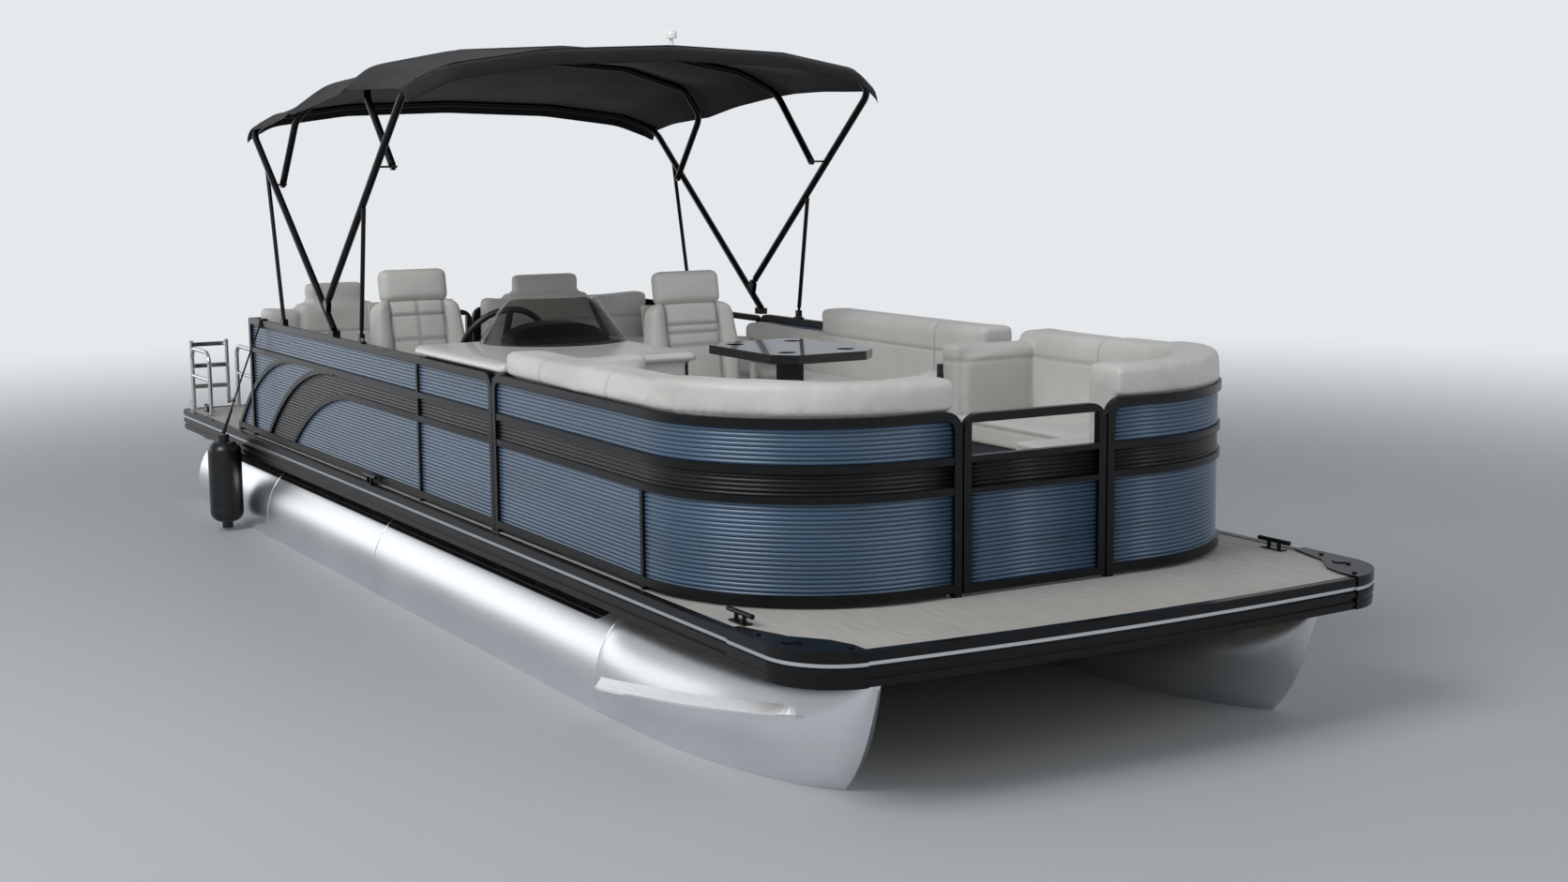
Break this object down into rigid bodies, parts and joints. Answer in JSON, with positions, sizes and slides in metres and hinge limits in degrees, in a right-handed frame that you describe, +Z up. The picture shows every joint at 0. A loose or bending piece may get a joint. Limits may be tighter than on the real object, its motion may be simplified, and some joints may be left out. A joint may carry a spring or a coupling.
{
  "type": "pontoon boat",
  "caption": "Pontoon boat on tube floats with a railed deck, bow lounges, couch, stern benches, helm console, swivel chairs, folding canopy and tilting outboard motor.",
  "frame": {"origin": "on the waterline, on the boat's centre plane, a little aft of the middle of the deck", "axes": "+X to the bow, +Y to port, +Z up; z = 0 is the water's surface"},
  "size_m": [8.0874, 2.8024, 3.2091],
  "materials": {
    "vinyl_taupe": "stitched marine vinyl",
    "vinyl_cream": "stitched marine vinyl",
    "steel_bright": "polished stainless",
    "rail_black": "powder coated",
    "skin_blue": "painted ribbed sheet",
    "frame_black": "powder coated tube",
    "canvas_black": "woven canvas",
    "lens_white": "opal lens",
    "plastic_grey": "moulded",
    "casting_black": "painted casting",
    "alloy_mill": "brushed marine sheet",
    "plywood": "treated plywood",
    "trim_black": "painted band",
    "fender_black": "inflated vinyl",
    "line_black": "braided line",
    "floor_beige": "woven vinyl flooring",
    "moulding_white": "moulded",
    "plastic_black": "moulded",
    "motor_black": "painted casting",
    "motor_black_gloss": "painted cowl",
    "acrylic_smoke": "tinted acrylic"
  },
  "bodies": {
    "hull": {"bench_backs": "vinyl_taupe", "bench_seats": "vinyl_cream", "canopy_aft_bow": "frame_black", "canopy_cloth": "canvas_black", "canopy_stays": "frame_black", "chair_pedestals": "casting_black", "corner_castings": "casting_black", "couch_backs": "vinyl_taupe", "couch_seats": "vinyl_cream", "cross_members": "alloy_mill", "deck_cleats": "casting_black", "deck_panel": "plywood", "fence_bands": "trim_black", "fence_panels": "skin_blue", "fender": "fender_black", "fender_line": "line_black", "floor_covering": "floor_beige", "helm_console": "moulding_white", "helm_dash": "plastic_black", "ladder_rails": "steel_bright", "motor_clamp": "motor_black", "motor_pod": "alloy_mill", "port_fence": "rail_black", "port_lounge_backs": "vinyl_taupe", "port_lounge_seats": "vinyl_cream", "port_pontoon": "alloy_mill", "rub_rail": "rail_black", "seat_bases": "moulding_white", "starboard_fence": "rail_black", "starboard_lounge_backs": "vinyl_taupe", "starboard_lounge_seats": "vinyl_cream", "starboard_pontoon": "alloy_mill", "stern_fence": "rail_black", "table_leg": "casting_black", "table_top": "moulding_white", "tube_risers": "alloy_mill", "windscreen": "acrylic_smoke"},
    "bow_gate_leaf": {"bow_gate": "rail_black", "bow_gate_skins": "skin_blue"},
    "side_gate_leaf": {"side_gate": "rail_black", "side_gate_skins": "skin_blue"},
    "stern_gate_leaf": {"stern_gate": "rail_black", "stern_gate_skins": "skin_blue"},
    "wheel": {"steering_wheel": "plastic_black"},
    "helm_chair": {"helm_chair_shell": "plastic_grey", "helm_chair_cushions": "vinyl_cream"},
    "companion_chair": {"companion_chair_shell": "plastic_grey", "companion_chair_cushions": "vinyl_cream"},
    "canopy_fore": {"canopy_fore_bow": "frame_black", "canopy_light": "lens_white"},
    "aft_rib": {"canopy_aft_rib": "frame_black"},
    "fore_rib": {"canopy_fore_rib": "frame_black"},
    "fore_stays": {"canopy_fore_stays": "frame_black"},
    "motor_tilting": {"motor_swivel": "motor_black"},
    "motor_steering": {"motor_leg": "motor_black", "motor_cowl": "motor_black_gloss"},
    "screw": {"propeller": "steel_bright"},
    "ladder": {"boarding_ladder": "steel_bright"}
  },
  "joints": [
    {"name": "bow_gate_hinge", "type": "hinge", "parent": "hull", "child": "bow_gate_leaf", "pos_m": [3.29, 0.304, 0.9], "axis": [0, 0, -1], "range_deg": [0, 90]},
    {"name": "side_gate_hinge", "type": "hinge", "parent": "hull", "child": "side_gate_leaf", "pos_m": [-1.496, 1.21, 0.9], "axis": [0, 0, -1], "range_deg": [0, 90]},
    {"name": "stern_gate_hinge", "type": "hinge", "parent": "hull", "child": "stern_gate_leaf", "pos_m": [-2.33, -0.434, 0.9], "axis": [0, 0, -1], "range_deg": [0, 90]},
    {"name": "wheel_turn", "type": "hinge", "parent": "hull", "child": "wheel", "pos_m": [0.075, -0.72, 1.202], "axis": [-0.9061, 0, 0.423], "range_deg": [-450, 450]},
    {"name": "helm_chair_swivel", "type": "hinge", "parent": "hull", "child": "helm_chair", "pos_m": [-0.83, -0.735, 0.86], "axis": [0, 0, 1], "continuous": true},
    {"name": "companion_chair_swivel", "type": "hinge", "parent": "hull", "child": "companion_chair", "pos_m": [0.21, 0.33, 0.86], "axis": [0, 0, 1], "continuous": true},
    {"name": "canopy_fold", "type": "hinge", "parent": "hull", "child": "canopy_fore", "pos_m": [-0.981, 0, 1.384], "axis": [0, -1, 0], "range_deg": [0, 97], "deforming": ["canopy_cloth"]},
    {"name": "aft_rib_fold", "type": "hinge", "parent": "hull", "child": "aft_rib", "pos_m": [-1.799, 0, 1.969], "axis": [0, -1, 0], "range_deg": [0, 80]},
    {"name": "fore_rib_fold", "type": "hinge", "parent": "canopy_fore", "child": "fore_rib", "pos_m": [-0.182, 0, 2.069], "axis": [0, -1, 0], "range_deg": [-83, 0]},
    {"name": "fore_stay_fold", "type": "hinge", "parent": "hull", "child": "fore_stays", "pos_m": [-0.47, 0, 1.252], "axis": [0, -1, 0], "range_deg": [-66, 0]},
    {"name": "motor_tilt", "type": "hinge", "parent": "hull", "child": "motor_tilting", "pos_m": [-3.6, 0, 0.507], "axis": [0, 1, 0], "range_deg": [0, 60]},
    {"name": "motor_steer", "type": "hinge", "parent": "motor_tilting", "child": "motor_steering", "pos_m": [-3.7, 0, 0.3], "axis": [0, 0, 1], "range_deg": [-30, 30]},
    {"name": "propeller_spin", "type": "hinge", "parent": "motor_steering", "child": "screw", "pos_m": [-4.06, 0, -0.333], "axis": [1, 0, 0], "continuous": true},
    {"name": "ladder_fold", "type": "hinge", "parent": "hull", "child": "ladder", "pos_m": [-3.875, -1.085, 0.578], "axis": [0, -1, 0], "range_deg": [0, 172]}
  ],
  "couplings": [
    {"joint": "aft_rib_fold", "follows": "canopy_fold", "ratio": 0.822},
    {"joint": "fore_rib_fold", "follows": "canopy_fold", "ratio": -0.849},
    {"joint": "fore_stay_fold", "follows": "canopy_fold", "ratio": -0.674}
  ]
}
